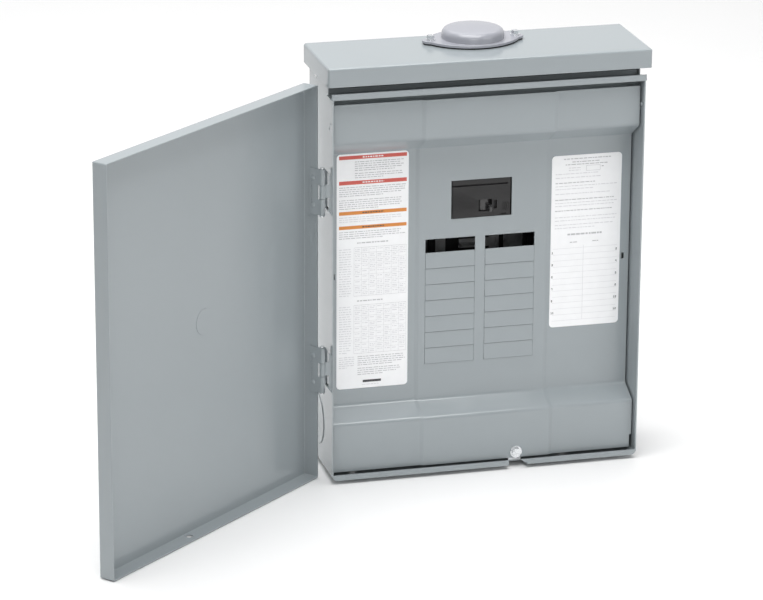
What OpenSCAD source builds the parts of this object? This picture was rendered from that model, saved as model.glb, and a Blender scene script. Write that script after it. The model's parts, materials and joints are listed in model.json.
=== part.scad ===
// Outdoor load center: a hooded wall enclosure with a hinged door, a deadfront
// with two columns of breaker spaces, and a main breaker with its bus work.
// X runs to the right, the door faces -Y and Z is up.
// The origin is the centre of the four mounting holes, on the wall plane.
// Inside the modules, heights count from the underside of the box and depths
// count backwards from its front rim.

/* [Enclosure] */
// Outside width of the box
box_w = 363; // [350:1:400]
// Depth of the box, from its rim to its back sheet
box_d = 112; // [110:1:124]
// Height of the side walls where they carry the top rail
box_h = 455; // [450:1:475]
// Sheet thickness of the box, hood and door
sheet_t = 1.5; // [1.2:0.1:1.7]
// Outside radius of the folded edges
bend_r = 3; // [2:0.5:4]
// Radius of the two lower corners, seen from the front
corner_r = 6.5; // [4:0.5:8]
// Height of the lip along the bottom of the rim
front_lip_h = 6.3; // [5:0.1:8]
// How far the mounting feet stand behind the back sheet
foot_h = 3; // [2:0.5:5]
// Distance between the mounting holes, across and up
mount_spacing = [254, 381]; // [200:1:400]
// Radius of the mounting holes
mount_hole_r = 3.6; // [2.5:0.1:4.5]
// Height of the centre of the mounting holes above the underside
mount_z = 228; // [220:1:232]

/* [Hood] */
// Height of the top of the hood
hood_z = 487; // [482:1:500]
// Height of the hood's skirts
hood_drop = 22; // [18:1:23]
// How far the hood overhangs each side wall
hood_side = 6; // [5:0.5:9]
// How far the hood stands in front of the rim
hood_front = 3.5; // [3:0.5:8]
// Radius of the dome on the hub closing plate
dome_r = 35.5; // [30:0.5:37]
// Distance between the two hub screws
hub_screw_spacing = 99; // [96:1:104]

/* [Door] */
// Depth of the door's flanges
door_flange = 19.5; // [16:0.5:20]
// Angle between the closed door and the pose in which it is drawn
door_open = 139; // [0:1:170]
// Distance of the hinge axis from the left wall
hinge_gap = 6.5; // [6:0.1:8]
// Depth of the hinge axis behind the rim
hinge_depth = 21.8; // [21:0.1:24]
// Length of each hinge barrel
hinge_len = 54; // [45:1:60]
// Radius of the hinge barrels
knuckle_r = 3.2; // [3:0.1:3.6]
// Radius of the hinge pins
hinge_pin_r = 1.8; // [1.5:0.1:2]

/* [Deadfront] */
// Left and right edge of the deadfront
front_edges = [-177.3, 178.4]; // [-179:0.1:179]
// Depth of the two raised bands behind the rim
band_depth = 10; // [8:1:14]
// Depth of the middle of the deadfront behind the rim
recess_depth = 35; // [30:1:37]
// How far the centre of the deadfront stands proud of its sides
centre_proud = 2; // [1:0.5:3]

/* [Breaker spaces] */
// Distance from one pole to the next
pole_pitch = 19.05; // [19:0.05:19.1]
// Spaces in each column
spaces = 8; // [4:1:8]
// Height of the lowest edge of the first space in each column
first_space_z = 253.4; // [250:0.1:256]
// Inner and outer edge of a column, from the centre line
column_x = [5.9, 64.5]; // [4:0.1:70]

/* [Main breaker] */
// Left edge, right edge, bottom and top of the window in the deadfront
main_window = [-34.5, 36.7, 291.6, 336.6]; // [-40:0.1:340]
// Angle of the handle to either side of the middle of its throw
handle_tilt = 16; // [10:1:16]

/* [Hidden] */
$fn = 48;

paint = [0.56, 0.60, 0.61];
paint_light = [0.68, 0.70, 0.71];
cast_grey = [0.60, 0.60, 0.66];
zinc = [0.80, 0.82, 0.82];
copper = [0.80, 0.48, 0.30];
alloy = [0.84, 0.85, 0.86];
charcoal = [0.16, 0.16, 0.17];
ivory = [0.96, 0.96, 0.95];

rim_y = -(box_d + foot_h);
half_w = box_w / 2;
inner_x = half_w - sheet_t;
back_in = box_d - sheet_t;
hood_in_z = hood_z - sheet_t;
clear = 0.3;
over = 1;

// Top rail: a gutter behind a lip, in front of a web that reaches up to the hood
rail_t = 1.5;
rail_side = 2;
rail_front = 0.8;
rail_low_z = box_h - 5.5;
rail_top_z = box_h + rail_t;
rail_notch = 21;
web_depth = [26.5, 28];
web_low_z = 434;

// Dimples in the side walls, by depth and height
dimples = [[9, 420], [15, 413.5]];
dimple_h = 1.2;

// Door, in its closed place
skin_depth = -3.5;
door_left = -(half_w + hinge_gap);
door_right = half_w + 8;
door_low_z = -4;
door_top_z = 461.5;
door_back = skin_depth + door_flange;
seal_x = 41.5;
seal_depth = 5;
seal_r = 4;
mark_r = 15;

// Hinges
hinge_x = door_left;
upper_hinge_z = 338.5;
lower_hinge_z = 128;
middle_knuckle = 15.6;
knuckle_gap = 0.4;
pin_clear = 0.05;
hinge_slot = [4, 36];
hinge_slot_h = 45;

// Notch in the front lip, for a padlock or seal
notch_x = [28, 50.5];
notch_slant = 8;
notch_depth = 14;

// Deadfront outline
deadfront_t = 1.5;
deadfront_low = 6.6;
deadfront_top = rail_low_z - 8.5;
deadfront_step = [2.4, 22];
upper_crease = [395, 377.3];
lower_crease = [77, 64];
centre_edges = [-77, 83];
centre_ramp = 6;
return_flange = 8;
side_slot_x = 171.3;
side_slot_z = 232;
cover_screw_at = [38.5, 13.6];

// Depths inside the box
side_depth = recess_depth + centre_proud;
pan_depth = 101;
insulator_depth = 91;
bus_depth = 88.5;
bus_t = 2.5;
bus_x = [26, 38];
pole_z = [for (k = [0:spaces - 1]) first_space_z + pole_pitch / 2 - k * pole_pitch];
neutral_x = 118;

// Main breaker
case_x = [-50, 52];
case_z = [287, 341];
case_depth = [41, 62, 84];
case_wall = 3;
face_depth = recess_depth + 0.5;
pole_a_z = 302;
pole_b_z = 326;
handle_at = [5.75, 50];
handle_z = [298.5, 311.5];
rotor_r = 12;
pivot_r = 3;
pivot_len = 4;
carrier_at = [-8, 72];
carrier_r = 4.5;
carrier_swing = 25;
journal_r = 2.5;
bearing_floor = 1;
strip_depth = [78, 80];
strip_h = 10;

// Screws that hold the hood's brackets, by depth and height
hood_screw_at = [73.5, 461];
hood_screw_r = 2;

// Knockouts: centre across, centre along and radii
side_ko = [71, 53, [31, 22.5, 17, 11]];
floor_ko = [[-118, 60, [14.2, 11]], [-60, 60, [31, 22, 14]], [20, 62, [22, 14]],
    [80, 60, [14.2, 11]], [130, 60, [11]]];
back_ko = [0, 34, [17, 11]];
ko_gap = 0.4;
ko_proud = 0.8;
tie_w = 2;

// Heights count from the underside of the box
module lift() translate([0, 0, -mount_z]) children();

// A block from its limits across, in depth and in height
module block(x, d, z)
    translate([x[0], rim_y + d[0], z[0]]) cube([x[1] - x[0], d[1] - d[0], z[1] - z[0]]);

// Extrudes a plan drawn in (x, depth) between two heights
module along_z(z) translate([0, rim_y, z[0]]) linear_extrude(z[1] - z[0]) children();

// Extrudes a section drawn in (depth, z) between two places across
module along_x(x)
    translate([x[0], rim_y, 0]) rotate([90, 0, 90]) linear_extrude(x[1] - x[0]) children();

// Extrudes an elevation drawn in (x, z) between two depths
module along_y(d)
    translate([0, rim_y + d[1], 0]) rotate([90, 0, 0]) linear_extrude(d[1] - d[0]) children();

// A round bar along each axis, from a point and a length
module bar_x(x, d, z, r) translate([x[0], rim_y + d, z]) rotate([0, 90, 0]) cylinder(x[1] - x[0], r = r);
module bar_y(x, d, z, r) translate([x, rim_y + d[1], z]) rotate([90, 0, 0]) cylinder(d[1] - d[0], r = r);
module bar_z(x, d, z, r) translate([x, rim_y + d, z[0]]) cylinder(z[1] - z[0], r = r);

// A rectangle with four round corners
module rounded(x, y, r) {
    translate([x[0] + r, y[0]]) square([x[1] - x[0] - 2 * r, y[1] - y[0]]);
    translate([x[0], y[0] + r]) square([x[1] - x[0], y[1] - y[0] - 2 * r]);
    for (cx = [x[0] + r, x[1] - r], cy = [y[0] + r, y[1] - r]) translate([cx, cy]) circle(r);
}

// A tray with round edges: d[0] is its face and d[1] its open side
module tray_block(x, d, z, r) {
    reach = 2 * r + over;
    intersection() {
        along_y(d) rounded(x, z, r);
        along_z([z[0] - over, z[1] + over]) rounded(x, [d[0], d[1] + reach], r);
        along_x([x[0] - over, x[1] + over]) rounded([d[0], d[1] + reach], z, r);
    }
}

// A pan-head screw along Y with a slot, its head in front of the given depth
module screw_y(x, d, z, head_r, shank_r, length, head_h = 2) {
    slot_w = head_r * 0.3;
    difference() {
        bar_y(x, [d - head_h, d], z, head_r);
        block([x - head_r, x + head_r], [d - head_h - over, d - head_h * 0.5],
            [z - slot_w / 2, z + slot_w / 2]);
    }
    bar_y(x, [d, d + length], z, shank_r);
}

// Discs and rings of a knockout, in its own plane, with the ties that hold them
module knockout_plan(radii) {
    for (k = [0:len(radii) - 1]) {
        outer = radii[k] - ko_gap;
        turn = 90 * k;
        difference() {
            union() {
                circle(outer);
                rotate(turn) square([2 * radii[k] + 0.04, tie_w], center = true);
            }
            if (k < len(radii) - 1) circle(radii[k + 1]);
        }
    }
}

// The parts of the door swing about the hinge axis
module door_swing()
    translate([hinge_x, rim_y + hinge_depth, 0]) rotate(-door_open)
        translate([-hinge_x, -(rim_y + hinge_depth), 0]) children();

// Enclosure --------------------------------------------------------------

module wall_plan(inset) {
    x = half_w - inset;
    rounded([-x, x], [0, box_d - inset], bend_r - inset);
    translate([-x, -inset]) square([2 * x, box_d / 2]);
}

module mounting_foot() {
    foot_r = 11;
    translate([0, -foot_h, 0]) rotate([-90, 0, 0]) cylinder(foot_h, r1 = foot_r + 3, r2 = foot_r);
}

module foot_hollow() {
    foot_r = 9.6;
    translate([0, -foot_h - sheet_t - 0.01, 0]) rotate([-90, 0, 0])
        cylinder(foot_h, r1 = foot_r + 3, r2 = foot_r);
}

module at_feet()
    for (sx = [-1, 1], sz = [-1, 1])
        translate([sx * mount_spacing[0] / 2, 0, mount_z + sz * mount_spacing[1] / 2]) children();

module front_lip() {
    nose_r = 3.5;
    along_y([0, sheet_t]) {
        difference() {
            translate([-half_w, 0]) square([half_w + notch_x[0], front_lip_h]);
            translate([notch_x[0] - nose_r, 0]) difference() {
                translate([0, -over]) square([nose_r + over, nose_r + over]);
                translate([0, nose_r]) circle(nose_r);
            }
        }
        polygon([[notch_x[1], 0], [half_w, 0], [half_w, front_lip_h],
            [notch_x[1] - notch_slant, front_lip_h]]);
    }
}

// A round hole through a side wall, at a depth and a height
module wall_hole(side, at, r) {
    middle = side * (half_w - sheet_t / 2);
    bar_x([middle - 2, middle + 2], at[0], at[1], r);
}

// The box's outline from the front, less a sheet thickness where asked for
module corner_block(inset) {
    x = half_w - inset;
    along_y([-over, box_d + over]) rounded([-x, x], [inset, hood_z + corner_r], corner_r - inset);
}

// Small formed marks near the front edge of each side wall
module wall_dimples(inset, r) for (side = [-1, 1], at = dimples)
    translate([side * (half_w - inset), rim_y + at[0], at[1]]) rotate([0, -90 * side, 0])
        cylinder(dimple_h, r1 = r, r2 = r - 1);

module enclosure_box() color(paint_light) lift() difference() {
    union() {
        intersection() {
            corner_block(0);
            union() {
                difference() {
                    along_z([0, hood_in_z]) wall_plan(0);
                    intersection() {
                        along_z([sheet_t, hood_in_z + over]) wall_plan(sheet_t);
                        corner_block(sheet_t);
                    }
                }
                front_lip();
            }
        }
        at_feet() mounting_foot();
        wall_dimples(sheet_t, 2.6);
    }
    wall_dimples(0, 2.1);
    at_feet() foot_hollow();
    at_feet() translate([0, over, 0]) rotate([90, 0, 0]) cylinder(foot_h + over * 3, r = mount_hole_r);
    // The side walls stop below the gutter, which drains over them
    block([-half_w - over, half_w + over], [-over, rail_notch + clear], [rail_low_z - clear, hood_z]);
    // Notch in the bottom, behind the gap in the lip
    along_z([-over, sheet_t + over]) polygon([[notch_x[0], -over], [notch_x[1], -over],
        [notch_x[1] - 3, notch_depth], [notch_x[0], notch_depth]]);
    for (z = [upper_hinge_z, lower_hinge_z])
        block([-half_w - over, -inner_x + over], hinge_slot, [z - hinge_slot_h / 2, z + hinge_slot_h / 2]);
    for (side = [-1, 1]) {
        wall_hole(side, side_ko, side_ko[2][0]);
        wall_hole(side, hood_screw_at, hood_screw_r + 0.1);
    }
    for (k = floor_ko) bar_z(k[0], k[1], [-over, sheet_t + over], k[2][0]);
    bar_y(back_ko[0], [back_in - over, box_d + over], back_ko[1], back_ko[2][0]);
}

module knockouts() color(paint_light) lift() {
    // Those in the side walls stand a little proud of them
    for (x = [-half_w - ko_proud, inner_x + ko_proud])
        translate([x, rim_y + side_ko[0], side_ko[1]]) rotate([90, 0, 90])
            linear_extrude(sheet_t) knockout_plan(side_ko[2]);
    for (k = floor_ko) translate([k[0], rim_y + k[1], 0]) linear_extrude(sheet_t) knockout_plan(k[2]);
    translate([back_ko[0], rim_y + box_d, back_ko[1]]) rotate([90, 0, 0])
        linear_extrude(sheet_t) knockout_plan(back_ko[2]);
}

hub_depth = 76;
hub_bore_r = 31;

module hood_shell(inset) {
    x = half_w + hood_side - inset;
    r = bend_r - inset;
    front = -hood_front + inset;
    low = hood_z - hood_drop - (inset > 0 ? over : 0);
    reach = 2 * bend_r + over;
    intersection() {
        along_y([front, box_d + (inset > 0 ? over : 0)]) rounded([-x, x], [low - reach, hood_z - inset], r);
        along_x([-x, x]) rounded([front, box_d + reach], [low - reach, hood_z - inset], r);
        along_z([low, hood_z]) rounded([-x, x], [front, box_d + reach], r);
    }
}

module drip_hood() color(paint_light) lift() difference() {
    hood_shell(0);
    hood_shell(sheet_t);
    bar_z(0, hub_depth, [hood_in_z - over, hood_z + over], hub_bore_r);
    for (side = [-1, 1])
        bar_z(side * hub_screw_spacing / 2, hub_depth, [hood_in_z - over, hood_z + over], 2.6);
}

// Angles that join the walls to the hood
module hood_brackets() color(zinc) lift() for (side = [-1, 1]) mirror([side < 0 ? 1 : 0, 0, 0]) {
    t = 1.5;
    leg = 16;
    depth = [48, 100];
    difference() {
        union() {
            block([inner_x - t, inner_x], depth, [hood_screw_at[1] - 9, hood_in_z]);
            block([inner_x - leg, inner_x - t], depth, [hood_in_z - t, hood_in_z]);
        }
        bar_x([inner_x - 3, inner_x + over], hood_screw_at[0], hood_screw_at[1], hood_screw_r + 0.1);
    }
}

module hood_screws() color(zinc) lift() for (side = [-1, 1]) mirror([side < 0 ? 1 : 0, 0, 0]) {
    head_r = 3.8;
    bar_x([half_w - 4.5, half_w], hood_screw_at[0], hood_screw_at[1], hood_screw_r);
    difference() {
        bar_x([half_w, half_w + 1.6], hood_screw_at[0], hood_screw_at[1], head_r);
        block([half_w + 0.8, half_w + 2], [hood_screw_at[0] - 0.5, hood_screw_at[0] + 0.5],
            [hood_screw_at[1] - head_r - 1, hood_screw_at[1] + head_r + 1]);
    }
}

module top_rail() color(paint) lift() {
    x = half_w + rail_side;
    in_x = inner_x - clear;
    end_r = 4;
    // Lip and floor of the gutter, with round front corners
    difference() {
        along_z([rail_low_z, rail_top_z]) intersection() {
            rounded([-x, x], [-rail_front, 2 * rail_notch], end_r);
            translate([-x, -rail_front]) square([2 * x, rail_notch + rail_front]);
        }
        block([-x - over, x + over], [rail_t - rail_front, rail_notch + over],
            [rail_low_z + rail_t, rail_top_z + over]);
    }
    block([-in_x, in_x], [rail_notch - over, web_depth[0] + over], [rail_low_z, rail_low_z + rail_t]);
    block([-in_x, in_x], web_depth, [web_low_z, hood_in_z]);
}

flange_t = 3;
gasket_t = 1.6;

// Lens-shaped outline of the closing plate, with a round boss at each screw
module hub_outline(grow) {
    lens_r = 60;
    half_depth = 39;
    intersection() {
        translate([0, lens_r - half_depth]) circle(lens_r + grow, $fn = 96);
        translate([0, half_depth - lens_r]) circle(lens_r + grow, $fn = 96);
    }
    for (side = [-1, 1]) translate([side * hub_screw_spacing / 2, 0]) circle(9.5 + grow);
}

module hub_gasket() color(charcoal) lift() translate([0, rim_y + hub_depth, hood_z]) linear_extrude(gasket_t)
    difference() {
        hub_outline(-1.2);
        circle(hub_bore_r);
        for (side = [-1, 1]) translate([side * hub_screw_spacing / 2, 0]) circle(2.6);
    }

module hub_plate() color(cast_grey) lift() translate([0, rim_y + hub_depth, hood_z + gasket_t])
    difference() {
        union() {
            linear_extrude(flange_t) hub_outline(0);
            rotate_extrude($fn = 96) dome_section(dome_r, 17, 7);
        }
        translate([0, 0, -0.01]) rotate_extrude($fn = 96) dome_section(dome_r - 3, 14, 5);
        for (side = [-1, 1]) translate([side * hub_screw_spacing / 2, 0, -over]) cylinder(10, r = 2.6);
    }

// Half section of the dome: a cylinder with a round shoulder and a low crown
module dome_section(r, h, shoulder) {
    steps = 8;
    crown = 2.2;
    side_h = h - crown - shoulder;
    polygon(concat([[0, 0], [r, 0], [r, side_h]],
        [for (k = [1:steps]) let (a = 90 * k / steps)
            [r - shoulder + shoulder * cos(a), side_h + shoulder * sin(a)]],
        [for (k = [1:steps]) let (u = 1 - k / steps)
            [(r - shoulder) * u, h - crown * u * u]]));
}

module hub_screws() color(zinc) lift() for (side = [-1, 1])
    translate([side * hub_screw_spacing / 2, rim_y + hub_depth, hood_z + gasket_t + flange_t]) {
        difference() {
            union() {
                cylinder(5.5, r = 4.4, $fn = 6);
                cylinder(1, r = 5.4);
            }
            translate([-5, -0.6, 4.5]) cube([10, 1.2, 2]);
        }
        translate([0, 0, -12]) cylinder(12, r = 2.4);
    }

// Cover fastening ----------------------------------------------------------

module cover_screw_bracket() color(zinc) lift() difference() {
    x = [cover_screw_at[0] - 7.5, cover_screw_at[0] + 7.5];
    union() {
        block(x, [band_depth + 3.6, band_depth + 5.1], [sheet_t, 24]);
        block(x, [band_depth + 5.1, band_depth + 20], [sheet_t, sheet_t + 1.5]);
    }
    bar_y(cover_screw_at[0], [band_depth, band_depth + 10], cover_screw_at[1], 2.9);
}

module cover_screw() color(zinc) lift() translate([cover_screw_at[0], rim_y + band_depth - centre_proud,
    cover_screw_at[1]]) rotate([90, 0, 0]) {
        difference() {
            union() {
                cylinder(0.9, r = 7);
                cylinder(5, r = 5.6, $fn = 6);
            }
            rotate(-35) translate([-7, -0.7, 3.6]) cube([14, 1.4, 2]);
        }
        translate([0, 0, -14]) cylinder(14, r = 2.7);
    }

// Hooks on the side walls that hold the edges of the deadfront
module side_brackets() color(zinc) lift() for (side = [-1, 1]) mirror([side < 0 ? 1 : 0, 0, 0]) {
    d = side_depth + deadfront_t;
    block([inner_x - 1.4, inner_x], [d + 7.5, d + 28], [side_slot_z - 14, side_slot_z + 14]);
    block([side_slot_x - 4, inner_x - 1.4], [d + 7.5, d + 9], [side_slot_z - 8, side_slot_z + 8]);
    block([side_slot_x - 4, side_slot_x - 2.5], [d, d + 7.5], [side_slot_z - 8, side_slot_z + 8]);
}

// Deadfront ------------------------------------------------------------------

// Height and depth of each bend down the deadfront
knots = [[deadfront_low, band_depth], [lower_crease[1], band_depth], [lower_crease[0], side_depth],
    [upper_crease[1], side_depth], [upper_crease[0], band_depth], [deadfront_top, band_depth]];

// Share of a leg that a rounded crease takes up, given its length in millimetres
function share(a, b, reach) = min(0.4, reach / norm([b[0] - a[0], b[1] - a[1]]));

function bend(k, reach) = let (a = knots[k - 1], b = knots[k], c = knots[k + 1],
    p = b + share(a, b, reach) * (a - b), q = b + share(b, c, reach) * (c - b))
    [for (i = [0:4]) let (u = i / 4) (1 - u) * (1 - u) * p + 2 * u * (1 - u) * b + u * u * q];

stations = concat([knots[0]], bend(1, 3.5), bend(2, 3.5), bend(3, 1.2), bend(4, 3.5), [knots[5]]);

// Cross-section in (x, depth): sides, ramps, proud centre and the return flanges
function ramp(x0, x1, d0, d1) = [for (i = [0:6]) let (u = i / 6, s = u * u * (3 - 2 * u))
    [x0 + (x1 - x0) * u, d0 + (d1 - d0) * s]];

function skin_line(inset) = let (left = front_edges[0] + inset, right = front_edges[1] - inset) concat(
    [[left, return_flange], [left, inset]],
    ramp(centre_edges[0], centre_edges[0] + centre_ramp, inset, inset - centre_proud),
    ramp(centre_edges[1] - centre_ramp, centre_edges[1], inset - centre_proud, inset),
    [[right, inset], [right, return_flange]]);

function reversed(list) = [for (i = [len(list) - 1:-1:0]) list[i]];

module formed_sheet() {
    ring = concat(skin_line(0), reversed(skin_line(deadfront_t)));
    n = len(ring);
    levels = len(stations);
    points = [for (s = stations, p = ring) [p[0], rim_y + s[1] + p[1], s[0]]];
    half = n / 2;
    // The two ends are strips of quads, because the section bends round
    low = [for (i = [0:half - 2]) [i, i + 1, n - 2 - i, n - 1 - i]];
    top = [for (f = low) [for (i = reversed(f)) i + n * (levels - 1)]];
    walls = [for (j = [0:levels - 2], i = [0:n - 1])
        [j * n + i, (j + 1) * n + i, (j + 1) * n + (i + 1) % n, j * n + (i + 1) % n]];
    polyhedron(points, concat(low, top, walls));
}

opening_low = first_space_z - (spaces - 1) * pole_pitch;
opening_top = first_space_z + pole_pitch - 3.15;

module deadfront() color(paint) lift() difference() {
    formed_sheet();
    block([main_window[0], main_window[1]], [recess_depth - 5, side_depth + 5],
        [main_window[2], main_window[3]]);
    for (side = [-1, 1]) mirror([side < 0 ? 1 : 0, 0, 0]) {
        block(column_x, [recess_depth - 5, side_depth + 5], [opening_low, opening_top]);
        block([side_slot_x - 1.5, side_slot_x + 1.5], [recess_depth - 5, side_depth + 5],
            [side_slot_z - 3.5, side_slot_z + 3.5]);
    }
    bar_y(cover_screw_at[0], [band_depth - 5, band_depth + 5], cover_screw_at[1], 3);
    // The edge steps in at the lower right corner
    block([front_edges[1] - deadfront_step[0], front_edges[1] + over], [0, side_depth],
        [0, deadfront_step[1]]);
}

module twistout_plates() color(paint) lift() for (side = [-1, 1], k = [1:spaces - 1]) {
    slit = 0.5;
    end_gap = 0.25;
    h = pole_pitch - slit;
    z = first_space_z - k * pole_pitch + slit / 2;
    x0 = side > 0 ? column_x[0] : -column_x[1];
    w = column_x[1] - column_x[0];
    translate([x0 + end_gap, rim_y + recess_depth + 1.15, z + h - 0.1]) rotate([-1.8, 0, 0])
        translate([0, -1.15, -h + 0.1]) cube([w - 2 * end_gap, 1.15, h]);
    // Ties to the sheet at both ends
    for (x = [x0, x0 + w - end_gap])
        translate([x, rim_y + recess_depth + 0.2, z + h / 2 - 1]) cube([end_gap, 0.9, 2]);
}

label_t = 0.25;

module label_plate(x, z) along_y([side_depth - label_t, side_depth]) rounded(x, z, 4.5);

module rating_label() color(ivory) lift() label_plate([-167.8, -84.2], [96.8, 375.9]);

module directory_label() color(ivory) lift() label_plate([84.4, 167.6], [151.2, 356.7]);

// Door -----------------------------------------------------------------------

module door_panel() color(paint) lift() door_swing() {
    t = sheet_t;
    difference() {
        tray_block([door_left, door_right], [skin_depth, door_back], [door_low_z, door_top_z], 2.2);
        tray_block([door_left + t, door_right - t], [skin_depth + t, door_back + over],
            [door_low_z + t, door_top_z - t], 0.8);
        bar_z(seal_x, seal_depth, [door_low_z - over, door_low_z + t + over], seal_r);
    }
    bar_y((door_left + door_right) / 2, [skin_depth + t, skin_depth + t + 0.6], 234, mark_r);
}

leaf_t = 1.5;
leaf_front = 6;

// Leaf on the door: two outer knuckles and a plate against the flange
module door_leaf(z) {
    x = hinge_x + sheet_t;
    outer = hinge_len / 2;
    mid = middle_knuckle / 2 + knuckle_gap;
    difference() {
        union() {
            block([x, x + leaf_t], [leaf_front, hinge_depth - knuckle_r - 1], [z - outer, z + outer]);
            for (s = [[z - outer, z - mid], [z + mid, z + outer]]) {
                block([x, x + leaf_t], [hinge_depth - knuckle_r - 1.1, hinge_depth], s);
                bar_z(hinge_x, hinge_depth, s, knuckle_r);
            }
        }
        bar_z(hinge_x, hinge_depth, [z - outer - over, z + outer + over], hinge_pin_r + pin_clear);
        for (s = [-1, 1]) bar_x([x - over, x + leaf_t + over], leaf_front + 5, z + s * 16, 1.6);
    }
}

module door_leaf_upper() color(paint) lift() door_swing() door_leaf(upper_hinge_z);
module door_leaf_lower() color(paint) lift() door_swing() door_leaf(lower_hinge_z);

module door_rivets() color(paint) lift() door_swing()
    for (z = [upper_hinge_z, lower_hinge_z], s = [-1, 1]) {
        x = hinge_x + sheet_t + leaf_t;
        translate([x, rim_y + leaf_front + 5, z + s * 16]) rotate([0, 90, 0]) rotate_extrude() rivet_section();
    }

// Half section of a rivet's domed head and shank, with the head's base at zero
module rivet_section() {
    head_r = 3;
    head_h = 1;
    polygon(concat([[0, -leaf_t + 0.01], [1.6, -leaf_t + 0.01], [1.6, 0], [head_r, 0]],
        [for (k = [1:5]) let (a = 90 * k / 5) [head_r * cos(a), head_h * sin(a)]]));
}

leaf_back = 50;
leaf_half_h = 20;

// Leaf on the box: the middle knuckle, a tab through the slot and an inner plate
module box_leaf(z) {
    mid = middle_knuckle / 2;
    d0 = hinge_depth + 1.7;
    difference() {
        union() {
            bar_z(hinge_x, hinge_depth, [z - mid, z + mid], knuckle_r);
            block([hinge_x, -inner_x + leaf_t], [d0, d0 + leaf_t], [z - mid, z + mid]);
            block([-inner_x, -inner_x + leaf_t], [d0, leaf_back], [z - leaf_half_h, z + leaf_half_h]);
        }
        bar_z(hinge_x, hinge_depth, [z - mid - over, z + mid + over], hinge_pin_r + pin_clear);
        for (s = [-1, 1]) bar_x([-inner_x - over, -inner_x + leaf_t + over], leaf_back - 7, z + s * 13, 1.6);
    }
}

module box_leaf_upper() color(paint) lift() box_leaf(upper_hinge_z);
module box_leaf_lower() color(paint) lift() box_leaf(lower_hinge_z);

module box_rivets() color(paint) lift() for (z = [upper_hinge_z, lower_hinge_z], s = [-1, 1])
    translate([-inner_x + leaf_t, rim_y + leaf_back - 7, z + s * 13]) rotate([0, 90, 0])
        rotate_extrude() rivet_section();

module hinge_pin(z) {
    head_r = 2.7;
    bar_z(hinge_x, hinge_depth, [z - hinge_len / 2 - 0.6, z + hinge_len / 2 + 0.6], hinge_pin_r);
    bar_z(hinge_x, hinge_depth, [z + hinge_len / 2 + 0.3, z + hinge_len / 2 + 1.4], head_r);
    bar_z(hinge_x, hinge_depth, [z - hinge_len / 2 - 1.4, z - hinge_len / 2 - 0.3], head_r);
}

module hinge_pin_upper() color(zinc) lift() hinge_pin(upper_hinge_z);
module hinge_pin_lower() color(zinc) lift() hinge_pin(lower_hinge_z);

// Interior -----------------------------------------------------------------

pan_x = 150;
pan_z = [60, 400];
pan_t = 1.2;
pan_screw_at = [142, 12];

module mounting_pan() color(zinc) lift() difference() {
    union() {
        block([-pan_x + 16, pan_x - 16], [pan_depth, pan_depth + pan_t], pan_z);
        for (side = [-1, 1]) mirror([side < 0 ? 1 : 0, 0, 0]) {
            block([pan_x - 16, pan_x - 16 + pan_t], [pan_depth, back_in], pan_z);
            block([pan_x - 16, pan_x], [back_in - pan_t, back_in], pan_z);
        }
    }
    for (side = [-1, 1], z = [pan_z[0] + pan_screw_at[1], pan_z[1] - pan_screw_at[1]])
        bar_y(side * pan_screw_at[0], [back_in - 3, back_in + over], z, 2.1);
}

module pan_screws() color(zinc) lift()
    for (side = [-1, 1], z = [pan_z[0] + pan_screw_at[1], pan_z[1] - pan_screw_at[1]])
        screw_y(side * pan_screw_at[0], back_in - pan_t, z, 4, 2, pan_t - 0.02);

module bus_insulator() color(charcoal) lift() {
    fin = [12, 9, 1];
    difference() {
        block([-44, 44], [insulator_depth, pan_depth], [108, 345]);
        at_bus_screws() bar_y(0, [insulator_depth - over, insulator_depth + 7], 0, bus_screw_r + 0.05);
    }
    // Walls between neighbouring stabs
    for (k = [0:spaces - 2]) let (z = pole_z[k] - pole_pitch / 2)
        block([-fin[0], fin[0]], [insulator_depth - fin[1], insulator_depth], [z - fin[2], z + fin[2]]);
}

finger_h = 11;
stab_x = 10;
stab_depth = 76;

bus_screw_r = 2;
bus_screw_z = [118, 206, 280];

module at_bus_screws()
    for (side = [-1, 1], z = bus_screw_z) translate([side * (bus_x[0] + bus_x[1]) / 2, 0, z]) children();

// One bus bar as seen from the front; its fingers reach across the middle
module bus_bar(first, side) {
    along_y([bus_depth, bus_depth + bus_t]) difference() {
        bus_outline(first, side);
        for (z = bus_screw_z) translate([side * (bus_x[0] + bus_x[1]) / 2, z]) circle(bus_screw_r + 0.1);
    }
    for (k = [first:2:spaces - 1])
        block([-stab_x, stab_x], [stab_depth, bus_depth + 0.01], [pole_z[k] - 1.1, pole_z[k] + 1.1]);
}

load_x = -62;

module bus_outline(first, side) {
    low_z = 112;
    bar_w = bus_x[1] - bus_x[0];
    link_h = 12;
    bar_top = (side > 0 ? pole_b_z : pole_a_z) + 3;
    translate([side > 0 ? bus_x[0] : -bus_x[1], low_z]) square([bar_w, bar_top - low_z]);
    for (k = [first:2:spaces - 1])
        translate([side > 0 ? -stab_x : -bus_x[0] - 0.5, pole_z[k] - finger_h / 2])
            square([bus_x[0] + stab_x + 0.5, finger_h]);
    // Link to the main breaker's load terminal
    if (side < 0) translate([load_x, pole_a_z - link_h / 2]) square([-load_x - bus_x[0], link_h]);
    else translate([load_x, pole_b_z - link_h / 2]) square([bus_x[1] - load_x, link_h]);
}

module bus_bar_a() color(alloy) lift() bus_bar(0, -1);
module bus_bar_b() color(alloy) lift() bus_bar(1, 1);

module bus_screws() color(zinc) lift() at_bus_screws() screw_y(0, bus_depth, 0, 4, bus_screw_r, 8);

rail_x = [70, 80];
hook_depth = 78;

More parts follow.
